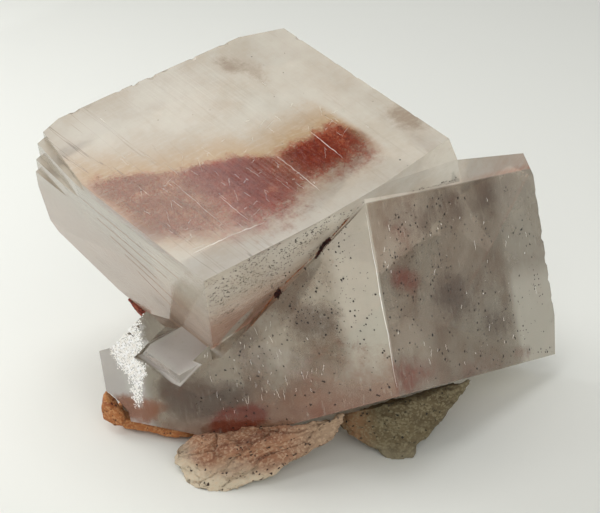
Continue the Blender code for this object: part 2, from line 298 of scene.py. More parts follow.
@dataclass
class Piece:
    """A piece of mesh: its name, what it is made of, the record's slot for that (not used), and the seed of its
    draws.
    """

    name: str
    finish: Finish
    slot: Slot
    seed: int

    def settle(self, piece: bpy.types.Object) -> None:
        """Makes an object ride on the specimen.

        Args:
            piece: the object.
        """
        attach(piece, BODY)
        LOG.info("%s: %d faces", self.name, len(piece.data.polygons))

    def make(self, points: Sequence[Array], faces: Sequence[Array]) -> None:
        """Makes the piece, flat-shaded.

        Args:
            points: blocks of vertices in millimetres, one a row.
            faces: blocks of vertex numbers, one face a row, all with as many corners.
        """
        corners = np.concatenate(points)
        loops = np.concatenate(faces)
        mesh = bpy.data.meshes.new(self.name)
        mesh.vertices.add(len(corners))
        mesh.vertices.foreach_set("co", (corners * MM).astype(np.float32).ravel())
        mesh.loops.add(loops.size)
        mesh.loops.foreach_set("vertex_index", loops.astype(np.int32).ravel())
        mesh.polygons.add(len(loops))
        mesh.polygons.foreach_set("loop_start", np.arange(0, loops.size, loops.shape[1], dtype=np.int32))
        mesh.polygons.foreach_set("use_smooth", np.zeros(len(loops), bool))
        mesh.update(calc_edges=True)
        mesh.validate()
        mesh.materials.append(self.finish.material())
        piece = bpy.data.objects.new(self.name, mesh)
        bpy.context.scene.collection.objects.link(piece)
        self.settle(piece)


def scatter_flakes(centres: Array, sizes: Array, rng: np.random.Generator) -> tuple[Array, Array]:
    """Makes one small triangle round each centre, turned any way.

    Args:
        centres: places, one a row.
        sizes: the triangles' radii.
        rng: the source of their turns.

    Returns:
        Vertices and faces.
    """
    count = len(centres)
    normals = rng.normal(size=(count, 3))
    normals /= np.linalg.norm(normals, axis=1)[:, None]
    first = np.cross(normals, rng.normal(size=(count, 3)))
    first /= np.linalg.norm(first, axis=1)[:, None]
    second = np.cross(normals, first)
    points = np.empty((count, 3, 3))
    for corner in range(3):
        angle = corner * math.tau / 3 + rng.uniform(-0.5, 0.5, count)
        reach = sizes * rng.uniform(0.7, 1.3, count)
        out = first * (np.cos(angle) * reach)[:, None] + second * (np.sin(angle) * reach)[:, None]
        points[:, corner] = centres + out
    return points.reshape(-1, 3), np.arange(count * 3).reshape(-1, 3)


class Surface:
    """The crystals' own surface, for setting small things on it."""

    def __init__(self) -> None:
        """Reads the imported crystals."""
        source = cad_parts["calcite_crystals"]
        points = [source.matrix_world @ vertex.co / MM for vertex in source.data.vertices]
        self.tree = BVHTree.FromPolygons(points, [tuple(face.vertices) for face in source.data.polygons])

    def holds(self, points: Array, slack: float = 0.06) -> Array:
        """Says which points lie on the surface, within some slack."""
        return np.array([self.tree.find_nearest(Vector(p), slack)[0] is not None for p in points], bool)


@dataclass(frozen=True)
class Patch:
    """A ragged patch of colour on a face. It is the sum of some soft blobs, each with its middle and reach along
    the face's two edges, its weight and its lean. The span has the sums where the colour begins and is at its
    most. A blob is full out to the core and ends at the rim, both as shares of its reach."""

    colour: str
    lobes: Sequence[tuple[float, ...]]
    span: Pair = (0.2, 1.1)
    most: float = 0.85
    core: float = 0.1
    rim: float = 1.4

    def mask(self, add: Adder, flat: Socket) -> Socket:
        """Sums the blobs at a place on the face.

        Args:
            add: adds a node to the material.
            flat: the place along the face's two edges.

        Returns:
            The blobs' weights, summed where they overlap.
        """
        total = None
        for x, y, width, height, weight, lean in self.lobes:
            turn = (0.0, 0.0, math.radians(lean))
            spot = add("Mapping TEXTURE", flat, (x, y, 0.0), turn, (width, height, FAR))
            far = add("VectorMath LENGTH", spot)
            blob = add("MapRange SMOOTHSTEP", far, self.rim, self.core, 0.0, weight)
            total = blob if total is None else add("Math ADD", total, blob)
        return total

    def lay(self, add: Adder, base: Socket, flat: Socket, ragged: Socket, where: Socket) -> Socket:
        """Lays the patch over a colour.

        Args:
            add: adds a node to the material.
            base: the colour under it.
            flat: the place along the face's two edges.
            ragged: noise that breaks up its edge.
            where: one on its face and nought elsewhere.

        Returns:
            The new colour.
        """
        share = add("Math ADD", self.mask(add, flat), ragged)
        share = add("MapRange SMOOTHSTEP", share, *self.span, 0.0, self.most)
        return add("Mix RGBA", add("Math MULTIPLY", share, where), base, self.colour)


@dataclass(frozen=True)
class DustBand:
    """A ragged band of dust under a face. At each place along the second edge it spans a stretch of the first.
    Its knots draw the line where it ends far from the corner, the near one, and how strong it is."""

    far: Sequence[Pair]
    near: Sequence[Pair]
    strength: Sequence[Pair]
    reach: float = 50.0

    def density(self, flat: Array) -> Array:
        """Says how thick the dust is.

        Args:
            flat: places along the crystal's first two edges.

        Returns:
            A share between zero and one for each.
        """
        far, near, strength = (
            np.interp(flat[:, 1], *np.array(knots, float).T) for knots in (self.far, self.near, self.strength)
        )
        far = np.clip((far - flat[:, 0]) / 1.4, 0, 1)
        near = np.clip((flat[:, 0] - near) / 5.0 + 0.1, 0, 1)
        return far * near * strength

    def line(self, add: Adder, along: Socket, knots: Sequence[Pair], most: float) -> Socket:
        """Draws one of the lines as a curve node.

        Args:
            add: adds a node to the material.
            along: the place along the second edge.
            knots: the line's knots.
            most: a value that none of them passes.

        Returns:
            The line's value at that place.
        """
        value = add("FloatCurve", None, add("Math MULTIPLY", along, 1 / self.reach))
        curve = value.node.mapping.curves[0]
        curve.points[0].location = (0.0, knots[0][1] / most)
        curve.points[1].location = (1.0, knots[-1][1] / most)
        for place, height in knots[1:-1]:
            curve.points.new(place / self.reach, height / most)
        for point in curve.points:
            point.handle_type = "VECTOR"
        value.node.mapping.update()
        return add("Math MULTIPLY", value, most)


HEMATITE_BAND = DustBand(
    far=(
        *((0, 26.5), (3, 26.3), (7, 24.2), (11, 21.6), (16, 20.2), (21, 18.6)),
        *((25, 15.2), (28, 15.6), (34, 15.4), (37, 15.2), (39, 12.5), (50, 10)),
    ),
    near=((0, 10), (4, 7.5), (8, 5.0), (14, 4.2), (20, 5.0), (25, 6.4), (33, 6.2), (37, 7.5), (50, 9)),
    strength=(
        *((0, 0.35), (3, 0.62), (8, 0.6), (10.5, 0.6), (13, 0.86), (18, 1.0), (22, 0.92)),
        *((25, 0.8), (28, 1.0), (33, 1.0), (36.5, 0.95), (39, 0.0), (50, 0.0)),
    ),
)
DEEP_RUST, DARK_SMOKE, DRY_STAIN = "#7A240E", "#57463A", "#A89078"
RUSTY, STAINED = ((0.1, 1.35), 0.9), ((0.2, 1.0), 0.75)
LOWER_LEFT_RUST = Patch(
    DEEP_RUST,
    ((30.6, 3.2, 4.4, 2.4, 2.2, 0), (26.6, 3.0, 3.6, 2.2, 2.2, 0), (12.0, 0.8, 9.0, 3.0, 0.5, 0)),
    *RUSTY,
)
TOE_RUST = Patch("#A05A30", ((50.0, 10.6, 4.6, 2.4, 1.6, 0), (45.5, 8.6, 4.4, 2.6, 1.4, 0)), *RUSTY)
LOWER_RIGHT_RUST = Patch(
    DEEP_RUST,
    (
        *((7.4, 25.6, 3.6, 3.2, 0.6, 0), (8.2, 18.0, 4.0, 2.4, 0.8, 0), (4.4, 19.2, 3.4, 2.4, 0.8, 20)),
        *((3.6, 2.6, 9.0, 4.0, 0.9, 0), (22.0, 1.5, 9.0, 2.2, 0.55, 0), (37.5, 1.8, 4.4, 2.0, 0.75, 0)),
    ),
    *RUSTY,
)
LEFT_SMOKE = Patch(
    DARK_SMOKE,
    (
        *((12.5, 15.5, 6.0, 4.0, 1.2, 0), (25.0, 16.0, 5.0, 3.5, 0.6, 0), (36.5, 8.0, 8.0, 5.5, 1.1, 0)),
        *((41.0, 14.0, 2.6, 5.0, 0.6, 0), (29.0, 7.0, 6.0, 3.4, 0.9, 0)),
    ),
)
RIGHT_SMOKE = Patch(
    DARK_SMOKE,
    (
        *((18.5, 14.0, 8.0, 5.0, 1.0, 0), (30.0, 9.0, 7.0, 4.0, 0.7, 0), (27.0, 29.0, 16.0, 5.0, 0.7, 0)),
        *((9.5, 27.0, 8.0, 5.0, 0.8, 0), (42.0, 31.0, 9.0, 4.0, 0.9, 0)),
    ),
)
BRUISES = ((23.5, 12.5, 6.0, 4.0, 0.8, 0), (17.0, 9.5, 4.5, 4.0, 0.7, 0))
LEFT_BRUISE = Patch("#FBFAF5", BRUISES, (0.35, 1.1), 0.2, rim=1.5)
TOP_STAIN = Patch(
    DRY_STAIN,
    ((10.0, 46.0, 4.4, 3.6, 1.0, 0), (35.0, 34.0, 3.2, 2.4, 0.9, 0), (31.0, 36.0, 5.0, 2.0, 0.6, 20)),
    *STAINED,
)
LEFT_STAIN = Patch(DRY_STAIN, ((12.6, 32.6, 2.4, 1.8, 1.3, 0),), *STAINED)
FOOT_CREAM = Patch("#F7F4E8", ((4.4, 29.6, 7.4, 1.3, 1.2, -56),), core=0.4, rim=1.1)
# The white band of crushed crystal on the toe: its middle along the lower rhomb's first edge, and its foot.
CRUSHED_MIDDLE, CRUSHED_FOOT, CRUSHED_SHOULDER = 46.3, 9.0, 19.0


@dataclass(frozen=True)
class CalciteFinish:
    """Clear cleaved calcite. Its faces are flat cleavage, finely stepped and scuffed, so it looks like old glass:
    see-through and milky in patches, with a soft broken gloss and a faint pink-brown body colour."""

    upper_clear: str = "#E2DACA"
    upper_cream: str = "#F7F4E8"
    upper_rose: str = "#D88F70"
    dust_red: str = "#842204"
    dust_bright: str = "#AE3C12"
    dust_ochre: str = "#C49A5E"
    line_brown: str = "#7A6250"
    lower_pale: str = "#DEDACB"
    lower_grey: str = "#B2AB9B"
    lower_smoke_and_shade: str = "#857462"
    lower_rose: str = "#9A6850"
    toe_clear: str = "#F0ECE8"
    crushed_white: str = "#FBFAF5"
    body_tint: str = "#E2D5C8"
    clearness: float = 0.6
    ior: float = 1.49
    absorption: float = 7.0
    upper_blob: float = 11.0
    lower_blob: float = 7.0
    line_width: float = 0.006
    step_height: float = 0.05

    def material(self) -> bpy.types.Material:
        """Makes the material.

        Returns:
            Rough glass with plain absorption, whose colour and steps follow the crystals' own axes.
        """
        material, add, place = new_material("cleaved_calcite")
        upper = UPPER.place_nodes(add, place)
        lower = LOWER.place_nodes(add, place)
        first, second, third = add("SeparateXYZ", upper).node.outputs
        least = add("Math MINIMUM", add("Math MINIMUM", first, second), third)
        inside = add("MapRange", least, -0.35, -0.15)
        colour = add("Mix RGBA", inside, self.lower_look(add, place, lower), self.upper_look(add, place, upper))
        scuffs = add("TexNoise", place, 1.4, 5.0, 0.65)
        shader = add(
            "BsdfPrincipled",
            named={
                "IOR": self.ior,
                "Transmission Weight": self.clearness,
                "Base Color": colour,
                "Roughness": add("MapRange", scuffs, 0.42, 0.68, 0.03, 0.22),
                "Normal": add("Bump", 0.35, self.step_height * MM, None, self.steps(add, upper, lower, inside)),
            },
        )
        add("OutputMaterial", shader, add("VolumeAbsorption", self.body_tint, self.absorption))
        return material

    @staticmethod
    def ragged(add: Adder, broad: Socket, fine: Socket, most: float) -> Socket:
        """Joins broad and fine noise to one that breaks up an edge.

        Args:
            add: adds a node to the material.
            broad: noise with big blobs.
            fine: noise with small ones.
            most: how far it reaches either side of nought.

        Returns:
            The joined noise.
        """
        both = add("Math ADD", add("Math MULTIPLY", broad, 0.8), fine)
        return add("MapRange", both, 0.6, 1.2, -most, most)

    @staticmethod
    def inside_small(add: Adder, place: Socket) -> tuple[Socket, Socket]:
        """Finds the small rhomb.

        Args:
            add: adds a node to the material.
            place: the point on the object.

        Returns:
            One on the small rhomb and nought beyond it, and the same for its edges alone.
        """
        middle = tuple(edge / 2 for edge in SMALL.edges)
        off = add("VectorMath SUBTRACT", SMALL.place_nodes(add, place), middle)
        off = add("VectorMath ABSOLUTE", add("VectorMath DIVIDE", off, middle))
        first, second, third = add("SeparateXYZ", off).node.outputs
        low = add("Math MINIMUM", first, second)
        high = add("Math MAXIMUM", first, second)
        inside = add("MapRange", add("Math MAXIMUM", high, third), 1.12, 1.05)
        edge = add("Math MAXIMUM", low, add("Math MINIMUM", high, third))
        return inside, add("Math MULTIPLY", inside, add("MapRange", edge, 0.76, 0.97))

    def upper_look(self, add: Adder, place: Socket, upper: Socket) -> Socket:
        """Colours the upper rhomb: creamy, rose towards the foot, red where the dust hangs under the top face.

        Args:
            add: adds a node to the material.
            place: the point on the object.
            upper: the same along the upper rhomb's edges.

        Returns:
            The colour.
        """
        along, across, depth = add("SeparateXYZ", upper).node.outputs
        broad = add("TexNoise", place, 1 / self.upper_blob, 6.0, 0.6)
        fine = add("TexNoise", place, 1 / 1.5, 6.0, 0.78)
        base = add("Mix RGBA", add("MapRange", broad, 0.38, 0.6), self.upper_clear, self.upper_cream)
        shallow = add("MapRange SMOOTHSTEP", depth, 1.6, 0.2)
        most = 1.6
        ragged = self.ragged(add, broad, fine, most)
        # The hematite band, red with an ochre fringe.
        band = HEMATITE_BAND
        far = add("Math SUBTRACT", band.line(add, across, band.far, band.reach), along)
        far = add("Math ADD", far, ragged)
        near = add("Math SUBTRACT", along, band.line(add, across, band.near, band.reach))
        strength = band.line(add, across, band.strength, 1.0)
        fringe = add("MapRange SMOOTHSTEP", far, -8.5, 0.5, 0.0, 0.8)
        fringe = add("Math MULTIPLY", fringe, add("MapRange SMOOTHSTEP", near, -6.0, 6.0))
        fringe = add("Math MULTIPLY", fringe, add("MapRange", strength, 0.0, 0.5))
        base = add("Mix RGBA", add("Math MULTIPLY", fringe, shallow), base, self.dust_ochre)
        low = add("Math ADD", near, add("Math MULTIPLY", ragged, 2.0))
        red = add("MapRange SMOOTHSTEP", far, -0.8, 1.4)
        for share in (add("MapRange SMOOTHSTEP", low, -2.5, 4.0), strength, shallow):
            red = add("Math MULTIPLY", red, share)
        fibre = drawn_noise(add, upper, (0.5, 2.2, 0.5))
        fibre = add("MapRange", add("Math ADD", fibre, add("Math MULTIPLY", fine, 0.8)), 0.7, 1.1)
        dust = add("Mix RGBA", fibre, self.dust_red, self.dust_bright)
        patchy = add("Math MULTIPLY", red, add("MapRange", fibre, 0.0, 1.0, 1.0, 0.95))
        base = add("Mix RGBA", patchy, base, dust)
        # The rose foot, in bands, with a cream edge on the front face.
        on_front = add("MapRange", along, 0.6, 0.1)
        foot = add("MapRange SMOOTHSTEP", depth, 10.0, 28.0, 0.0, 0.8)
        foot = add("Math MULTIPLY", foot, add("MapRange", on_front, 0.0, 1.0, 0.45, 1.0))
        bands = add("MapRange", drawn_noise(add, upper, (0.3, 0.12, 1.3)), 0.35, 0.62, 0.55, 1.0)
        base = add("Mix RGBA", add("Math MULTIPLY", foot, bands), base, self.upper_rose)
        cream = FOOT_CREAM.mask(add, add("CombineXYZ", across, depth))
        base = add("Mix RGBA", add("Math MULTIPLY", cream, on_front), base, self.upper_cream)
        # Stains, scuffs and cleavage lines.
        uneven = add("MapRange", ragged, -most, most, -0.4, 0.4)
        base = TOP_STAIN.lay(add, base, upper, uneven, shallow)
        on_left = add("MapRange", across, 0.6, 0.1)
        base = LEFT_STAIN.lay(add, base, add("CombineXYZ", along, depth), uneven, on_left)
        scuff = add("MapRange", drawn_noise(add, upper, (1.6, 0.35, 1.2)), 0.5, 0.75, 0.0, 0.45)
        scuff = add("Math MULTIPLY", scuff, add("MapRange", red, 0.0, 1.0, 1.0, 0.06))
        base = add("Mix RGBA", scuff, base, self.upper_cream)
        wave = drawn_noise(add, upper, (0.012, 0.3, 0.3), 3.0, 0.55)
        off = add("Math ABSOLUTE", add("Math SUBTRACT", wave, 0.5))
        lines = add("MapRange", off, self.line_width, self.line_width * 0.3)
        lines = add("Math MULTIPLY", lines, add("MapRange", across, 16.0, 3.0, 0.08, 0.6))
        return add("Mix RGBA", lines, base, self.line_brown)

    def lower_look(self, add: Adder, place: Socket, lower: Socket) -> Socket:
        """Colours the lower rhomb: smoky grey, with painted shade that darkens the whole right face, a paler band by
        the shared edge and rusty stains low down.

        Args:
            add: adds a node to the material.
            place: the point on the object.
            lower: the same along the lower rhomb's edges.

        Returns:
            The colour.
        """
        along_left, along_right, rise = add("SeparateXYZ", lower).node.outputs
        broad = add("TexNoise", place, 1 / self.lower_blob, 6.0, 0.6)
        fine = add("TexNoise", place, 1 / 1.6, 6.0, 0.75)
        on_left = add("MapRange", along_right, 0.5, 0.2)
        on_right = add("MapRange", along_left, 0.5, 0.2)
        left = add("CombineXYZ", along_left, rise)
        right = add("CombineXYZ", along_right, rise)
        ragged = self.ragged(add, broad, fine, 0.45)
        base = add("Mix RGBA", add("MapRange", broad, 0.4, 0.62), self.lower_grey, self.lower_smoke_and_shade)
        # Painted shade: the whole right face is mixed 40 per cent towards the dark smoky colour.
        base = add("Mix RGBA", add("Math MULTIPLY", on_right, 0.4), base, self.lower_smoke_and_shade)
        base = RIGHT_SMOKE.lay(add, base, right, ragged, on_right)
        # The pale band by the shared edge, and the clear window at the right end.
        band = add("MapRange SMOOTHSTEP", along_left, 9.5, 5.5, 0.0, 0.9)
        for share in (on_left, add("MapRange", rise, 1.0, 7.0, 0.45, 1.0)):
            band = add("Math MULTIPLY", band, share)
        base = add("Mix RGBA", band, base, self.lower_pale)
        window = add("MapRange SMOOTHSTEP", along_right, 35.0, 38.5)
        window = add("Math MULTIPLY", window, add("MapRange SMOOTHSTEP", rise, 18.0, 13.0, 0.35, 1.0))
        base = add("Mix RGBA", window, base, self.lower_pale)
        # The rose foot of the left face, its smoke and its bruises.
        warm = add("Math ADD", rise, add("MapRange", ragged, -0.5, 0.5, 3.0, -3.0))
        warm = add("Math MULTIPLY", add("MapRange SMOOTHSTEP", warm, 11.0, 1.5, 0.0, 0.75), on_left)
        base = add("Mix RGBA", warm, base, self.lower_rose)
        for patch in (LEFT_SMOKE, LEFT_BRUISE):
            base = patch.lay(add, base, left, ragged, on_left)
        # The clear toe and the small rhomb with its whitened edges.
        toe = add("Math MULTIPLY", add("MapRange SMOOTHSTEP", along_left, 43.5, 46.5), on_left)
        small, rims = self.inside_small(add, place)
        base = add("Mix RGBA", add("Math MAXIMUM", small, toe), base, self.toe_clear)
        base = add("Mix RGBA", rims, base, self.crushed_white)
        for patch, flat, where in (
            (LOWER_LEFT_RUST, left, on_left),
            (TOE_RUST, left, on_left),
            (LOWER_RIGHT_RUST, right, on_right),
        ):
            base = patch.lay(add, base, flat, ragged, where)
        # The white band of crushed crystal, which tapers downwards.
        crushed = add("Math ADD", along_left, add("MapRange", ragged, -0.5, 0.5, -2.0, 2.0))
        crushed = add("Math ABSOLUTE", add("Math SUBTRACT", crushed, CRUSHED_MIDDLE))
        taper = add("MapRange", rise, CRUSHED_FOOT, CRUSHED_SHOULDER, 0.2, 3.4)
        crushed = add("MapRange", add("Math SUBTRACT", crushed, taper), 0.6, -0.6)
        for share in (
            on_left,
            add("MapRange", rise, CRUSHED_FOOT, CRUSHED_FOOT + 2.0),
            add("MapRange", fine, 0.25, 0.5, 0.55, 1.0),
        ):
            crushed = add("Math MULTIPLY", crushed, share)
        base = add("Mix RGBA", crushed, base, self.crushed_white)
        scuff = add("MapRange", drawn_noise(add, lower, (1.4, 1.4, 0.4)), 0.56, 0.74, 0.0, 0.5)
        return add("Mix RGBA", scuff, base, self.lower_pale)

    @staticmethod
    def steps(add: Adder, upper: Socket, lower: Socket, inside: Socket) -> Socket:
        """Raises cleavage hairlines a fraction of a millimetre apart, along the crystals' edges.

        Args:
            add: adds a node to the material.
            upper: the point along the upper rhomb's edges.
            lower: the point along the lower rhomb's edges.
            inside: one on the upper rhomb and nought beyond it.

        Returns:
            The height.
        """
        first, second, other = (
            drawn_noise(add, source, stretch, 4.0, 0.6)
            for source, stretch in ((upper, (0.05, 1.5, 1.5)), (upper, (1.3, 0.04, 1.3)), (lower, (0.06, 1.4, 1.4)))
        )
        return add("Mix FLOAT", inside, other, add("Math ADD", first, second))


@dataclass(frozen=True)
class DustFinish:
    """Fine mineral dust. Each grain is dull, with a colour of its own, so a cloud of it looks soft and uneven."""

    name: str
    dark: str
    light: str
    grain: float = 1.2

    def material(self) -> bpy.types.Material:
        """Makes the material.

        Returns:
            A dull surface whose colour changes from grain to grain.
        """
        material, add, place = new_material(self.name)
        tone = add("MapRange", add("TexNoise", place, 1 / self.grain, 3.0), 0.35, 0.65)
        colour = add("Mix RGBA", tone, self.dark, self.light)
        add("OutputMaterial", add("BsdfPrincipled", named={"Base Color": colour, "Roughness": 0.85, "IOR": 1.5}))
        return material


@dataclass(frozen=True)
class RockFinish:
    """Fine-grained broken rock: matt, with grains of a few tones, faint layers, pits and dark mineral specks.
    Its tones are the dark and light layers and the pale grains. The foot has another colour up to some height,
    and so has the flank, one end along x."""

    name: str
    tones: tuple[str, str, str]
    speck: str
    grain: float
    layer: float
    layer_tilt: Point
    foot: str
    foot_range: Pair
    flank: str
    flank_range: Pair
    dryness: float = 0.88
    relief: float = 0.12

    def material(self) -> bpy.types.Material:
        """Makes the material.

        Returns:
            A matt surface of layers, grains, pits and specks.
        """
        material, add, place = new_material(self.name)
        warp = add("VectorMath MULTIPLY", add("TexNoise", place, 0.25, 3.0, out="Color"), (3.0,) * 3)
        bent = add("VectorMath ADD", place, warp)
        level = add("VectorMath DOT_PRODUCT", bent, self.layer_tilt)
        layers = add("TexNoise 1D", level, 1 / self.layer, 4.0, 0.7)
        grains = add("SeparateXYZ", add("TexVoronoi", place, 1 / self.grain, out="Color"))
        along, _, height = add("SeparateXYZ", bent).node.outputs
        pits = add("TexNoise", add("VectorMath MULTIPLY", bent, (0.5, 0.5, 2.4)), 0.9, 6.0, 0.75)
        foot_full, foot_end = self.foot_range
        base = add("Mix RGBA", add("MapRange", layers, 0.35, 0.65), self.tones[0], self.tones[1])
        for share, colour in (
            (add("MapRange SMOOTHSTEP", height, foot_end, foot_full, 0.0, 0.9), self.foot),
            (add("MapRange SMOOTHSTEP", along, *self.flank_range, 0.0, 0.75), self.flank),
            (add("MapRange", grains, 0.55, 0.9, 0.0, 0.45), self.tones[2]),
            (add("MapRange", grains, 0.045, 0.015), self.speck),
            (add("MapRange", pits, 0.42, 0.32, 0.0, 0.75), self.speck),
        ):
            base = add("Mix RGBA", share, base, colour)
        bumps = add("TexNoise", place, 1.6 / self.grain, 3.0)
        normal = add("Bump", 0.6, self.relief * MM, None, bumps)
        values = {"Base Color": base, "Roughness": self.dryness, "IOR": 1.5, "Normal": normal}
        add("OutputMaterial", add("BsdfPrincipled", named=values))
        return material


@dataclass(frozen=True)
class VeilFinish:
    """A healed crack inside calcite: a silvery film, broken into islands, that lets most light through."""

    name: str
    colour: str
    thickest: float
    island: float = 4.0

    def material(self) -> bpy.types.Material:
        """Makes the material.

        Returns:
            A pale film whose cover comes from soft noise.
        """
        material, add, place = new_material(self.name)
        cover = add("TexNoise", place, 1 / self.island, 6.0, 0.7)
        cover = add("MapRange", cover, 0.42, 0.68, 0.0, self.thickest)
        values = {"Base Color": self.colour, "Roughness": 0.25, "IOR": 1.3, "Alpha": cover}
        add("OutputMaterial", add("BsdfPrincipled", named=values))
        return material


@dataclass
class DustCloud(Piece):
    """Dust shut in a crystal, as many small flakes whose number follows a band and seeded noise."""

    crystal: CrystalFrame
    band: DustBand
    depth: Pair
    count: int
    size: Pair
    drift: Pair = (0.0, 0.0)
    clump: float = 2.5
    margin: float = 0.5
    batch: int = 60000

    def build(self) -> None:
        """Scatters the flakes and makes the piece."""
        rng = np.random.default_rng(self.seed)
        noise = LatticeNoise(self.seed)
        edges = np.array(self.crystal.edges)

        def draw() -> Array:
            """Draws a batch of places along the crystal's edges.

            Returns:
                Those inside the cloud.
            """
            flat = rng.uniform((0.0, 0.0), edges[:2], (self.batch, 2))
            deep = self.depth[0] + (self.depth[1] - self.depth[0]) * rng.random(self.batch) ** 1.3
            patchy = noise.at(np.column_stack([flat, deep * 2]), self.clump, 4)
            chance = self.band.density(flat) * np.clip((patchy - 0.3) * 3.2, 0, 1)
            places = np.column_stack([flat + deep[:, None] * np.array(self.drift), deep])
            fits = np.all((places > self.margin) & (places < edges - self.margin), axis=1)
            return places[(rng.random(self.batch) < chance) & fits]

        centres = self.crystal.at(gather(self.count, draw))
        points, faces = scatter_flakes(centres, rng.uniform(*self.size, self.count), rng)
        self.make([points], [faces])


@dataclass
class RockLump(Piece):
    """A lump of rock or crust: the CAD node's own shape, made finer and roughened. Its broad swells are a blob
    across and rise by the relief, its grains stand out by the crumb, its beds by the ledge, and its cracks are a
    crevice deep."""

    node: str
    voxel: float
    relief: float
    blob: float
    crumb: float = 0.12
    crumb_size: float = 0.7
    ledge: float = 0.0
    ledge_size: float = 1.4
    crevice: float = 0.0

    def push(self, points: Array) -> Array:
        """Works out the relief.

        Args:
            points: the surface's points, one a row.

        Returns:
            How far each moves out.
        """
        swells, crumbs, bends, ledges, splits = (LatticeNoise(self.seed + step) for step in range(5))
        broad = swells.at(points, self.blob, 4) - 0.5
        fine = crumbs.at(points, self.crumb_size, 3) - 0.5
        total = broad * self.relief * 2 + fine * self.crumb * 2 - self.relief * 0.35
        up = np.array(self.finish.layer_tilt)
        up = up / np.linalg.norm(up)
        level = points @ up + (bends.at(points, 6.0, 2) - 0.5) * 3.0
        drawn = np.column_stack([points[:, 0] * 0.16, points[:, 1] * 0.16, level])
        beds = ledges.at(drawn, self.ledge_size, 3)
        total += (np.clip((beds - 0.36) * 3.5, 0, 1) - 0.6) * self.ledge
        cracks = splits.at(drawn * np.array((1.3, 1.3, 0.8)), self.ledge_size * 1.6, 3)
        total -= np.clip(1 - np.abs(cracks - 0.5) / 0.025, 0, 1) * self.crevice
        return total

    def build(self) -> None:
        """Remeshes a copy of the node and pushes its surface in and out."""
        piece = bpy.data.objects.new(self.name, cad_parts[self.node].data.copy())
        bpy.context.scene.collection.objects.link(piece)
        remesh = piece.modifiers.new("fine", "REMESH")
        remesh.mode = "VOXEL"
        remesh.voxel_size = self.voxel * MM
        remesh.use_smooth_shade = True
        evaluated = piece.evaluated_get(bpy.context.evaluated_depsgraph_get())
        mesh = bpy.data.meshes.new_from_object(evaluated)
        piece.modifiers.clear()
        piece.data = mesh
        points, normals = (np.empty(len(mesh.vertices) * 3, np.float32) for _ in range(2))
        mesh.vertices.foreach_get("co", points)
        mesh.vertices.foreach_get("normal", normals)
        points = points.reshape(-1, 3) / MM
        moved = points + normals.reshape(-1, 3) * self.push(points)[:, None]
        moved[:, 2] = np.maximum(moved[:, 2], 0.0)
        mesh.vertices.foreach_set("co", (moved * MM).astype(np.float32).ravel())
        mesh.materials.clear()
        mesh.materials.append(self.finish.material())
        mesh.update()
        self.settle(piece)
        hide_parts(self.node)


@dataclass
class SpeckField(Piece):
    """Tiny mineral grains on the face that the edge to skip leaves. The area says how likely one is at a place."""

    crystal: CrystalFrame
    skip: int
    area: Callable[[Array], Array]
    span: Pair
    count: int
    size: Pair
    surface: Surface
    start: float = 0.4
    sides: int = 5
    sunk: float = 0.02
    batch: int = 4000

    def build(self) -> None:
        """Sets each grain, a low irregular pyramid, on the face."""
        rng = np.random.default_rng(self.seed)

        def draw() -> Array:
            """Draws a batch of places on the face.

            Returns:
                The points of those that the crystals' surface holds.
            """
            flat = rng.uniform((self.start, self.start), self.span, (self.batch, 2))
            centres = self.crystal.on_face(self.skip, flat[rng.random(self.batch) < self.area(flat)])
            return centres[self.surface.holds(centres)]

        centres = gather(self.count, draw)
        normal = self.crystal.normal(self.skip)
        axis_one = self.crystal.axes[1 if self.skip == 0 else 0]
        axis_two = np.cross(normal, axis_one)
        sizes = self.size[0] + (self.size[1] - self.size[0]) * rng.random(self.count) ** 2.5
        corners = []
        for side in range(self.sides):
            angle = side * math.tau / self.sides + rng.uniform(-0.4, 0.4, self.count)
            reach = sizes * rng.uniform(0.6, 1.2, self.count)
            out = axis_one * (np.cos(angle) * reach)[:, None]
            corners.append(centres + out + axis_two * (np.sin(angle) * reach)[:, None] + normal * self.sunk)
        corners.append(centres - normal * (sizes * 0.25)[:, None])
        first = np.arange(self.count)[:, None] * (self.sides + 1)
        faces = [
            np.hstack([first + side, first + (side + 1) % self.sides, first + self.sides])
            for side in range(self.sides)
        ]
        self.make([np.stack(corners, axis=1).reshape(-1, 3)], faces)


@dataclass
class CleavageMarks(Piece):
    """Fine open cleavage cracks and scratches on one face, each a narrow tapering ridge of bruised calcite."""

    crystal: CrystalFrame
    skip: int
    lines: Sequence[Line]
    surface: Surface
    steps: int = 14
    slack: float = 0.12
    proud: float = 0.03

    def build(self) -> None:
        """Makes one tapering strip a line, a little wavy and proud of the face."""
        rng = np.random.default_rng(self.seed)
        normal = self.crystal.normal(self.skip)
        share = np.linspace(0, 1, self.steps)[:, None]
        points: list[Array] = []
        faces: list[Array] = []
        for start, end, width in self.lines:
            flat = np.array(start) * (1 - share) + np.array(end) * share
            flat += rng.normal(0, 0.05, flat.shape)
            middle = self.crystal.on_face(self.skip, flat)
            if not self.surface.holds(middle, self.slack).all():
                continue
            side = np.cross(normal, middle[-1] - middle[0])
            side /= np.linalg.norm(side)
            half = width * (0.25 + np.sin(share * math.pi)) * rng.uniform(0.5, 1.1, (self.steps, 1)) / 2
            ring = sum(len(block) for block in points) + np.arange(self.steps - 1)[:, None] * 3
            strip = [middle + side * half, middle - normal * self.proud, middle - side * half]
            points.append(np.stack(strip, axis=1).reshape(-1, 3))
            faces += [ring + np.array((0, 1, 4, 3)) + first for first in (0, 1)]
        self.make(points, faces)


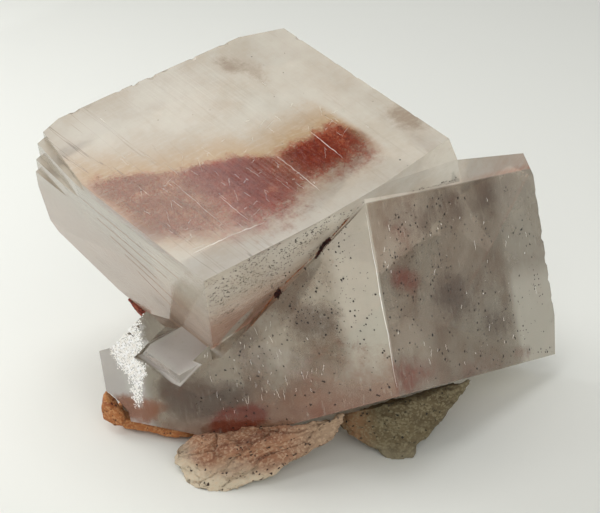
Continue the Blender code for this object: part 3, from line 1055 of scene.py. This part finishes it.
@dataclass
class SeamGrains(Piece):
    """Rusty and black grains caught in the seam where two crystals meet."""

    path: Array
    count: int
    spread: float
    size: Pair
    clump: float = 1.6
    batch: int = 4000
    flakes: int = 4

    def build(self) -> None:
        """Packs small crooked grains along the path, thick and thin by turns."""
        rng = np.random.default_rng(self.seed)
        lengths = np.r_[0, np.cumsum(np.linalg.norm(np.diff(self.path, axis=0), axis=1))]
        noise = LatticeNoise(self.seed)

        def draw() -> Array:
            """Draws a batch of points round the path.

            Returns:
                Those where the seam is thick.
            """
            where = rng.uniform(0, lengths[-1], self.batch)
            centre = np.column_stack([np.interp(where, lengths, self.path[:, axis]) for axis in range(3)])
            thick = np.clip(noise.at(centre, self.clump, 3) * 2.4 - 0.75, 0.02, 1)
            centre = centre + rng.normal(size=(self.batch, 3)) * (self.spread * thick)[:, None]
            return centre[rng.random(self.batch) < thick]

        centres = gather(self.count, draw)
        sizes = rng.uniform(*self.size, self.count)
        blocks = [scatter_flakes(centres, sizes, rng) for _ in range(self.flakes)]
        faces = [part + turn * len(points) for turn, (points, part) in enumerate(blocks)]
        self.make([points for points, _ in blocks], faces)


@dataclass
class HealedCracks(Piece):
    """Ragged flat films inside a crystal. Each sheet has the edge that leaves its plane, a middle and a reach."""

    crystal: CrystalFrame
    sheets: Sequence[tuple[int, Point, float]]
    sides: int = 36
    margin: float = 0.8

    def build(self) -> None:
        """Makes one ragged fan a film."""
        rng = np.random.default_rng(self.seed)
        angle = np.linspace(0, math.tau, self.sides, endpoint=False)
        ring = np.arange(self.sides)
        fan = np.column_stack([np.zeros(self.sides, int), ring + 1, (ring + 1) % self.sides + 1])
        points: list[Array] = []
        for axis, middle, reach in self.sheets:
            first, second = (other for other in range(3) if other != axis)
            phases = rng.uniform(0, math.tau, 4)
            wobble = sum(np.sin(angle * (n + 2) + phases[n]) / (n + 2) for n in range(4))
            radius = reach * (1 + 0.35 * wobble + rng.uniform(-0.08, 0.08, self.sides))
            places = np.tile(np.array(middle, float), (self.sides + 1, 1))
            places[1:, first] += np.cos(angle) * radius
            places[1:, second] += np.sin(angle) * radius * 0.7
            edges = np.array(self.crystal.edges)
            points.append(self.crystal.at(np.clip(places, self.margin, edges - self.margin)))
        faces = [fan + turn * (self.sides + 1) for turn in range(len(points))]
        self.make(points, faces)


@dataclass
class Studio:
    """A plain pale floor, soft light from the upper left and the camera. A lamp has a place, a side and a power."""

    camera_place: Point = (-0.878, -281.561, 157.92)
    camera_tilt: float = 65.0
    lens: float = 112.0
    aim: Point = (0.0, 0.0, 30.0)
    overhead: tuple[Point, float, float] = ((-70.0, -40.0, 450.0), 260.0, 0.62)
    side: tuple[Point, float, float] = ((-235.0, 120.0, 150.0), 180.0, 0.5)
    front: tuple[Point, float, float] = ((60.0, -430.0, 260.0), 380.0, 0.8)
    floor_colour: str = "#E6E7E1"
    floor_half: float = 1600.0
    floor_drop: float = 0.02

    def build(self) -> None:
        """Makes the camera, the floor, the lamps and the sky."""
        scene = bpy.context.scene
        scene.view_settings.view_transform = "Standard"
        camera = bpy.data.objects.new("camera", bpy.data.cameras.new("camera"))
        camera.data.lens = self.lens
        camera.data.sensor_width = 36.0
        camera.data.sensor_fit = "HORIZONTAL"
        camera.data.clip_start = 0.01
        camera.location = Vector(self.camera_place) * MM
        camera.rotation_euler = (math.radians(self.camera_tilt), 0.0, 0.0)
        scene.collection.objects.link(camera)
        scene.camera = camera
        self.build_floor()
        for name in ("overhead", "side", "front"):
            self.add_lamp(name, *getattr(self, name))
        self.build_sky()
        bounces = {"max": 14, "glossy": 9, "diffuse": 5, "transmission": 14}
        for name, count in bounces.items():
            setattr(scene.cycles, name + "_bounces", count)
        scene.cycles.transparent_max_bounces = 16
        scene.cycles.sample_clamp_direct = 1.5
        scene.cycles.sample_clamp_indirect = 0.8
        scene.cycles.blur_glossy = 1.0
        scene.cycles.adaptive_threshold = 0.02

    def build_floor(self) -> None:
        """Makes the floor."""
        half = self.floor_half * MM
        mesh = bpy.data.meshes.new("floor")
        corners = [(-half, -half, 0), (half, -half, 0), (half, half, 0), (-half, half, 0)]
        mesh.from_pydata(corners, [], [(0, 1, 2, 3)])
        material = bpy.data.materials.new("matt_paper")
        material.use_nodes = True
        shader = material.node_tree.nodes["Principled BSDF"]
        shader.inputs["Base Color"].default_value = linear(self.floor_colour)
        shader.inputs["Roughness"].default_value = 0.9
        mesh.materials.append(material)
        floor = bpy.data.objects.new("floor", mesh)
        floor.location.z = -self.floor_drop * MM
        bpy.context.scene.collection.objects.link(floor)

    def add_lamp(self, name: str, place: Point, side: float, power: float) -> None:
        """Hangs a square soft lamp that faces the specimen.

        Args:
            name: its name.
            place: where it hangs.
            side: the length of its side.
            power: its power in watts.
        """
        light = bpy.data.lights.new(name, "AREA")
        light.shape = "SQUARE"
        light.size = side * MM
        light.energy = power
        lamp = bpy.data.objects.new(name, light)
        lamp.location = Vector(place) * MM
        lamp.rotation_euler = (Vector(self.aim) * MM - lamp.location).to_track_quat("-Z", "Y").to_euler()
        bpy.context.scene.collection.objects.link(lamp)

    @staticmethod
    def build_sky() -> None:
        """Makes an even soft sky, brighter low down, as pale walls are."""
        world = bpy.data.worlds.new("studio")
        world.use_nodes = True
        tree = world.node_tree
        back = tree.nodes["Background"]
        height = add_node(tree, "SeparateXYZ", add_node(tree, "TexCoord"), out="Z")
        tree.links.new(add_node(tree, "MapRange", height, 0.0, 0.9, 0.87, 0.29), back.inputs["Strength"])
        back.inputs["Color"].default_value = (1.0, 1.0, 0.985, 1.0)
        bpy.context.scene.world = world


def build_clouds() -> None:
    """Makes the dust inside the upper crystal."""
    # Hematite dust: earthy and dull, so the cloud stays red in any light.
    dust = DustFinish("hematite_dust", "#8C2608", "#BC4A1C")
    size, depth, drift = (0.1, 0.2), (0.9, 4.0), (-0.25, 0.1)
    DustCloud("hematite_cloud", dust, Slot.HEMATITE, 11, UPPER, HEMATITE_BAND, depth, 55000, size, drift).build()


def build_rocks() -> None:
    """Makes the matrix lumps and the crusts."""
    # Sandstone, broken along its beds: matt pink layers with a chalky pale foot.
    tones = ("#7A4E38", "#A47C5E", "#C2A88C")
    beds, foot, flank = (0.32, 1.3, (-0.32, 0.1, 1.0)), ("#C4B8A0", (2.5, 5.5)), ("#9C8870", (-3.0, 5.0))
    sandy = RockFinish("pink_sandstone", tones, "#33221A", *beds, *foot, *flank)
    # Granular rock, broken rough: olive and grey grains with dark ones between, browner on the left.
    tones = ("#50432C", "#6A5E44", "#8E866A")
    beds, foot, flank = (0.32, 3.0, (0.3, 0.3, 0.8)), ("#857C66", (0.5, 5.0)), ("#8A6444", (14.0, 9.0))
    granular = RockFinish("green_grey_granular_rock", tones, "#26231A", *beds, *foot, *flank)
    # Limonite crust: an earthy orange skin, paler where it meets the floor.
    tones = ("#8A4A26", "#AE7442", "#C99C6C")
    beds, foot, flank = (0.3, 1.2, (0.2, 0.1, 1.0)), ("#D8C49A", (0.2, 1.6)), ("#8A4A26", (-8.0, 0.0))
    limonite = RockFinish("limonite", tones, "#3C1E14", *beds, *foot, *flank)
    # Hematite crust: an earthy dark red skin with an orange edge.
    tones = ("#5A1F18", "#8C3A2A", "#B8683F")
    beds, foot, flank = (0.25, 1.0, (0.3, 0.2, 1.0)), ("#7A3020", (0.0, 0.1)), ("#B8683F", (-24.5, -23.9))
    hematite = RockFinish("hematite", tones, "#2A100C", *beds, *foot, *flank)
    rough = {"ledge": 0.9, "ledge_size": 1.2, "crevice": 0.9}
    RockLump("sandy_rock", sandy, Slot.SANDY, 21, "matrix_left", 0.24, 0.8, 3.2, 0.2, 0.6, **rough).build()
    rough = {"ledge": 0.25, "crevice": 0.4}
    RockLump("granular_rock", granular, Slot.GRANULAR, 33, "matrix_right", 0.28, 0.6, 4.5, 0.2, 0.8, **rough).build()
    RockLump("rusty_base", limonite, Slot.LIMONITE, 25, "base_crust", 0.36, 0.3, 2.5, ledge=0.2).build()
    RockLump("red_crust", hematite, Slot.HEMATITE, 27, "side_crust", 0.12, 0.15, 1.2, 0.06, 0.4).build()


def build_specks(surface: Surface) -> None:
    """Makes the dark and pale mineral grains on the faces.

    Args:
        surface: the crystals' surface.
    """
    # Iron and manganese oxide grains: nearly black and dull. Bruised calcite: white, as crushed glass is.
    dark = DustFinish("dark_oxide_grain", "#120D0A", "#2E211B", 0.5)
    pale = DustFinish("bruised_calcite", "#E8E4DC", "#FFFFFF", 0.5)
    clump = LatticeNoise(40)

    def upper_front(flat: Array) -> Array:
        """Dense along the top edge, thinner below."""
        noise = clump.at(np.insert(flat, 2, 0.0, axis=1), 4.0, 2)
        return np.clip(1.25 - flat[:, 1] / 20.0, 0.03, 1) * np.clip((noise - 0.2) * 2.2, 0, 1)

    def spread(flat: Array) -> Array:
        """Loose clumps all over."""
        return np.clip((clump.at(np.insert(flat, 2, 9.0, axis=1), 6.0, 2) - 0.35) * 2.5, 0.03, 1)

    def crushed(flat: Array) -> Array:
        """A band of crushed crystal that tapers downwards.

        Args:
            flat: places on the face.

        Returns:
            How likely a grain is at each.
        """
        noise = clump.at(np.insert(flat, 2, 4.0, axis=1), 2.5, 3)
        half = np.interp(flat[:, 1], (CRUSHED_FOOT, CRUSHED_SHOULDER, 24.0), (0.6, 3.2, 3.6))
        off = np.abs(flat[:, 0] - CRUSHED_MIDDLE + (noise - 0.5) * 3)
        return np.clip((half - off) / 1.6, 0, 1) * np.clip((flat[:, 1] - CRUSHED_FOOT) / 2.0, 0, 1)

    for name, crystal, skip, area, span, count, size, finish, slot, seed in (
        ("specks_upper_front", UPPER, 0, upper_front, (47.5, 38.0), 760, (0.15, 0.27), dark, Slot.HEMATITE, 41),
        ("specks_upper_top", UPPER, 2, spread, (38.0, 46.0), 60, (0.07, 0.2), dark, Slot.HEMATITE, 44),
        ("specks_lower_left", LOWER, 1, spread, (36.0, 30.0), 430, (0.1, 0.28), dark, Slot.HEMATITE, 42),
        ("specks_lower_right", LOWER, 0, spread, (47.0, 31.0), 560, (0.12, 0.3), dark, Slot.HEMATITE, 43),
        ("flecks_lower_right", LOWER, 0, spread, (47.0, 31.0), 60, (0.04, 0.12), pale, Slot.CALCITE, 45),
        ("crushed_band", LOWER, 1, crushed, (52.0, 26.0), 4400, (0.07, 0.26), pale, Slot.CALCITE, 46),
    ):
        SpeckField(name, finish, slot, seed, crystal, skip, area, span, count, size, surface).build()


def random_lines(
    low: Pair, high: Pair, lean: Sequence[float], count: int, length: Pair, width: Pair, seed: int
) -> list[Line]:
    """Draws short scratches on a face.

    Args:
        low: the least place along the face's two edges.
        high: the greatest place.
        lean: the angles that they may have, in degrees.
        count: how many.
        length: the shortest and the longest.
        width: the narrowest and the widest.
        seed: the seed of the draw.

    Returns:
        Start, end and width of each.
    """
    rng = np.random.default_rng(seed)
    lines = []
    for _ in range(count):
        start = rng.uniform(low, high)
        angle = math.radians(rng.choice(lean) + rng.normal(0, 4))
        reach = length[0] + (length[1] - length[0]) * rng.random() ** 2
        end = start + reach * np.array([math.cos(angle), math.sin(angle)])
        lines.append((tuple(start), tuple(end), float(rng.uniform(*width))))
    return lines


def build_marks(surface: Surface) -> None:
    """Makes the cracks and scratches on the faces, and a painted highlight along the lower rhomb's shared edge.

    Args:
        surface: the crystals' surface.
    """
    # Bruised calcite shows as thin white lines, and old ledges hold a little brown stain. One such white line, along
    # the lower rhomb's shared edge, is a painted highlight, not a bruise.
    bruise_and_glint = DustFinish("bruised_line_and_edge_glint", "#EFE9E0", "#FFFFFF", 0.8)
    stain = DustFinish("stained_ledge", "#7A5A44", "#A88C74", 0.8)
    top = [
        ((14.4, 25.3), (5.1, 25.0), 0.055),
        ((15.8, 32.8), (8.5, 32.3), 0.075),
        ((5.3, 2.6), (5.0, 9.5), 0.09),
        ((5.0, 9.5), (4.4, 14.5), 0.08),
        ((12.5, 13.2), (6.2, 13.0), 0.04),
        ((19.0, 10.2), (7.5, 9.6), 0.03),
        *random_lines((6.0, 3.0), (22.0, 38.0), (0.0, 35.0, 70.0), 60, (0.6, 3.0), (0.015, 0.035), 51),
        *random_lines((2.0, 2.0), (37.0, 46.0), (0.0, 90.0, 35.0), 20, (0.5, 2.0), (0.015, 0.03), 54),
    ]
    ledges = [
        ((27.0 - 2.6 * n, 8.0 + 4.1 * n), (6.0 + 2.9 * (n % 3), 9.5 + 4.9 * n), 0.03 + 0.01 * (n % 3))
        for n in range(5)
    ]
    left = random_lines((11.0, 4.0), (33.0, 17.0), (80.0, 95.0, 110.0), 55, (0.3, 2.0), (0.02, 0.05), 52)
    # Painted highlight: a thin white strip down the edge where the lower rhomb's two faces meet.
    left.append(((0.1, 1.6), (0.1, 29.6), 0.1))
    right = random_lines((2.0, 2.0), (45.0, 29.0), (60.0, 95.0), 34, (0.3, 1.6), (0.02, 0.05), 53)
    for name, crystal, skip, lines, finish, seed in (
        ("cracks_upper_top", UPPER, 2, top, bruise_and_glint, 61),
        ("ledges_upper_left", UPPER, 1, ledges, stain, 64),
        ("scratches_and_edge_glint_lower_left", LOWER, 1, left, bruise_and_glint, 62),
        ("scratches_lower_right", LOWER, 0, right, bruise_and_glint, 63),
    ):
        CleavageMarks(name, finish, Slot.CALCITE, seed, crystal, skip, lines, surface).build()


def build_films() -> None:
    """Makes the healed cracks inside the big crystals."""
    film = VeilFinish("healed_crack_film", "#F4F0EA", 0.45)
    upper = (
        (2, (30.0, 14.0, 2.6), 9.0),
        (2, (31.0, 36.0, 3.4), 10.0),
        (2, (22.0, 30.0, 6.0), 9.0),
        (1, (24.0, 5.0, 16.0), 10.0),
        (1, (10.0, 9.0, 24.0), 9.0),
        (0, (5.0, 16.0, 12.0), 8.0),
        (0, (8.0, 34.0, 8.0), 8.0),
    )
    lower = (
        (1, (20.0, 3.0, 9.0), 8.0),
        (1, (8.0, 5.0, 16.0), 8.0),
        (1, (32.0, 4.0, 8.0), 6.0),
        (0, (3.0, 14.0, 20.0), 8.0),
        (0, (5.0, 30.0, 14.0), 9.0),
        (0, (4.0, 40.0, 10.0), 7.0),
    )
    HealedCracks("healed_cracks_upper", film, Slot.CALCITE, 81, UPPER, upper).build()
    HealedCracks("healed_cracks_lower", film, Slot.CALCITE, 82, LOWER, lower).build()


def build_seams() -> None:
    """Makes the grains in the seam between the big crystals."""
    # Limonite grains are orange-brown and earthy, and oxide grains nearly black.
    rusty = DustFinish("rusty_seam_grain", "#5A2A14", "#A8683A", 0.6)
    black = DustFinish("black_seam_grain", "#160E0B", "#4A1A12", 0.4)
    lift = -LOWER.normal(1) * 0.1
    seam = ((23.2, 0, 17.6), (17.3, 0, 22.0), (8.9, 0, 26.2), (3.0, 0, 29.8))
    high_clot = ((9.8, 0, 25.2), (8.2, 0, 26.8), (7.0, 0, 27.4))
    low_clot = ((17.9, 0, 21.2), (17.0, 0, 21.9))
    for name, path, count, spread, size, finish, slot, seed in (
        ("seam_rust", seam, 700, 0.06, (0.04, 0.1), rusty, Slot.LIMONITE, 71),
        ("seam_black", high_clot, 500, 0.2, (0.05, 0.15), black, Slot.HEMATITE, 72),
        ("seam_dark", low_clot, 300, 0.22, (0.06, 0.16), black, Slot.HEMATITE, 73),
    ):
        SeamGrains(name, finish, slot, seed, LOWER.at(path) + lift, count, spread, size).build()


def main() -> None:
    """Builds the studio and every piece."""
    logging.basicConfig(level=logging.INFO, format="%(name)s %(message)s")
    Studio().build()
    calcite = CalciteFinish().material()
    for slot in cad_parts["calcite_crystals"].material_slots:
        slot.material = calcite
    build_clouds()
    build_rocks()
    surface = Surface()
    build_specks(surface)
    build_marks(surface)
    build_films()
    build_seams()


if __name__ == "__main__":
    main()
